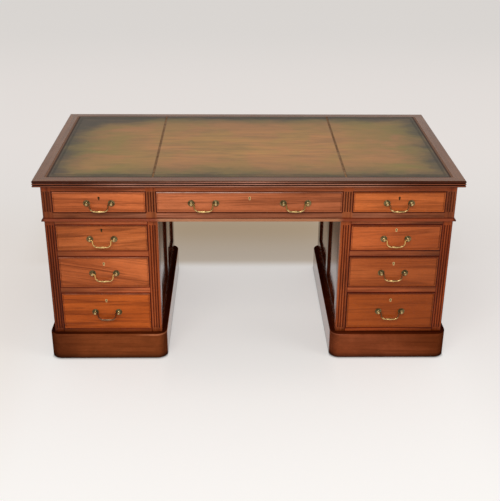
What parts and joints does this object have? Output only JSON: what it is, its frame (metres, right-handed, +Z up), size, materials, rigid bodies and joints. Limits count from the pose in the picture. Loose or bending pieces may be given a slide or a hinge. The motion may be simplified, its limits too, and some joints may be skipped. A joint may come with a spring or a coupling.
{
  "type": "pedestal desk",
  "caption": "Antique mahogany pedestal desk with a leather-inset reeded top, fluted stiles, sliding dovetailed drawers and swinging swan-neck brass handles.",
  "frame": {"origin": "on the floor, under the middle of the top", "axes": "+X to the right of a person seated at the drawers, +Y to the back, +Z up"},
  "size_m": [1.6, 0.86, 0.765],
  "materials": {
    "border": "polished mahogany",
    "frame": "polished mahogany",
    "moulding": "polished mahogany",
    "case": "polished mahogany",
    "drawer_front": "polished mahogany",
    "plinth": "polished mahogany",
    "lining": "bare oak",
    "secondary": "bare pine",
    "leather": "worn antique hide",
    "brass": "aged lacquered brass",
    "bail": "polished brass worn bright",
    "glide": "dark iron"
  },
  "bodies": {
    "carcass": {"top_border": "border", "top_ground": "secondary", "leather_panels": "leather", "frieze_posts": "frame", "frieze_rails": "frame", "frieze_panels": "case", "frieze_runners": "secondary", "frieze_bead": "moulding", "pedestal_boards": "secondary", "pedestal_runners": "secondary", "locating_dowels": "secondary", "glides": "glide", "left_stiles": "frame", "left_drawer_rails": "frame", "left_frames": "case", "left_panels": "case", "left_plinth": "plinth", "right_stiles": "frame", "right_drawer_rails": "frame", "right_frames": "case", "right_panels": "case", "right_plinth": "plinth"},
    "frieze_left_drawer": {"frieze_left_front": "drawer_front", "frieze_left_box": "lining", "frieze_left_brass": "brass"},
    "frieze_left_bail": {"frieze_left_bail": "bail"},
    "frieze_centre_drawer": {"frieze_centre_front": "drawer_front", "frieze_centre_box": "lining", "frieze_centre_brass": "brass"},
    "frieze_centre_bail_left": {"frieze_centre_bail_left": "bail"},
    "frieze_centre_bail_right": {"frieze_centre_bail_right": "bail"},
    "frieze_right_drawer": {"frieze_right_front": "drawer_front", "frieze_right_box": "lining", "frieze_right_brass": "brass"},
    "frieze_right_bail": {"frieze_right_bail": "bail"},
    "left_upper_drawer": {"left_upper_front": "drawer_front", "left_upper_box": "lining", "left_upper_brass": "brass"},
    "left_upper_bail": {"left_upper_bail": "bail"},
    "left_middle_drawer": {"left_middle_front": "drawer_front", "left_middle_box": "lining", "left_middle_brass": "brass"},
    "left_middle_bail": {"left_middle_bail": "bail"},
    "left_lower_drawer": {"left_lower_front": "drawer_front", "left_lower_box": "lining", "left_lower_brass": "brass"},
    "left_lower_bail": {"left_lower_bail": "bail"},
    "right_upper_drawer": {"right_upper_front": "drawer_front", "right_upper_box": "lining", "right_upper_brass": "brass"},
    "right_upper_bail": {"right_upper_bail": "bail"},
    "right_middle_drawer": {"right_middle_front": "drawer_front", "right_middle_box": "lining", "right_middle_brass": "brass"},
    "right_middle_bail": {"right_middle_bail": "bail"},
    "right_lower_drawer": {"right_lower_front": "drawer_front", "right_lower_box": "lining", "right_lower_brass": "brass"},
    "right_lower_bail": {"right_lower_bail": "bail"}
  },
  "joints": [
    {"name": "frieze_left_slide", "type": "slide", "parent": "carcass", "child": "frieze_left_drawer", "axis": [0, -1, 0], "range_m": [0, 0.42]},
    {"name": "frieze_left_bail_swing", "type": "hinge", "parent": "frieze_left_drawer", "child": "frieze_left_bail", "pos_m": [-0.562, -0.419, 0.66775], "axis": [-1, 0, 0], "range_deg": [-11.5, 195]},
    {"name": "frieze_centre_slide", "type": "slide", "parent": "carcass", "child": "frieze_centre_drawer", "axis": [0, -1, 0], "range_m": [0, 0.42]},
    {"name": "frieze_centre_bail_left_swing", "type": "hinge", "parent": "frieze_centre_drawer", "child": "frieze_centre_bail_left", "pos_m": [-0.17241, -0.419, 0.66775], "axis": [-1, 0, 0], "range_deg": [-11.5, 195]},
    {"name": "frieze_centre_bail_right_swing", "type": "hinge", "parent": "frieze_centre_drawer", "child": "frieze_centre_bail_right", "pos_m": [0.17241, -0.419, 0.66775], "axis": [-1, 0, 0], "range_deg": [-11.5, 195]},
    {"name": "frieze_right_slide", "type": "slide", "parent": "carcass", "child": "frieze_right_drawer", "axis": [0, -1, 0], "range_m": [0, 0.42]},
    {"name": "frieze_right_bail_swing", "type": "hinge", "parent": "frieze_right_drawer", "child": "frieze_right_bail", "pos_m": [0.562, -0.419, 0.66775], "axis": [-1, 0, 0], "range_deg": [-11.5, 195]},
    {"name": "left_upper_slide", "type": "slide", "parent": "carcass", "child": "left_upper_drawer", "axis": [0, -1, 0], "range_m": [0, 0.42]},
    {"name": "left_upper_bail_swing", "type": "hinge", "parent": "left_upper_drawer", "child": "left_upper_bail", "pos_m": [-0.56075, -0.4165, 0.51992], "axis": [-1, 0, 0], "range_deg": [-15, 195]},
    {"name": "left_middle_slide", "type": "slide", "parent": "carcass", "child": "left_middle_drawer", "axis": [0, -1, 0], "range_m": [0, 0.42]},
    {"name": "left_middle_bail_swing", "type": "hinge", "parent": "left_middle_drawer", "child": "left_middle_bail", "pos_m": [-0.56075, -0.4165, 0.3745], "axis": [-1, 0, 0], "range_deg": [-15, 195]},
    {"name": "left_lower_slide", "type": "slide", "parent": "carcass", "child": "left_lower_drawer", "axis": [0, -1, 0], "range_m": [0, 0.42]},
    {"name": "left_lower_bail_swing", "type": "hinge", "parent": "left_lower_drawer", "child": "left_lower_bail", "pos_m": [-0.56075, -0.4165, 0.20333], "axis": [-1, 0, 0], "range_deg": [-15, 195]},
    {"name": "right_upper_slide", "type": "slide", "parent": "carcass", "child": "right_upper_drawer", "axis": [0, -1, 0], "range_m": [0, 0.42]},
    {"name": "right_upper_bail_swing", "type": "hinge", "parent": "right_upper_drawer", "child": "right_upper_bail", "pos_m": [0.56075, -0.4165, 0.51992], "axis": [-1, 0, 0], "range_deg": [-15, 195]},
    {"name": "right_middle_slide", "type": "slide", "parent": "carcass", "child": "right_middle_drawer", "axis": [0, -1, 0], "range_m": [0, 0.42]},
    {"name": "right_middle_bail_swing", "type": "hinge", "parent": "right_middle_drawer", "child": "right_middle_bail", "pos_m": [0.56075, -0.4165, 0.3745], "axis": [-1, 0, 0], "range_deg": [-15, 195]},
    {"name": "right_lower_slide", "type": "slide", "parent": "carcass", "child": "right_lower_drawer", "axis": [0, -1, 0], "range_m": [0, 0.42]},
    {"name": "right_lower_bail_swing", "type": "hinge", "parent": "right_lower_drawer", "child": "right_lower_bail", "pos_m": [0.56075, -0.4165, 0.20333], "axis": [-1, 0, 0], "range_deg": [-15, 195]}
  ]
}
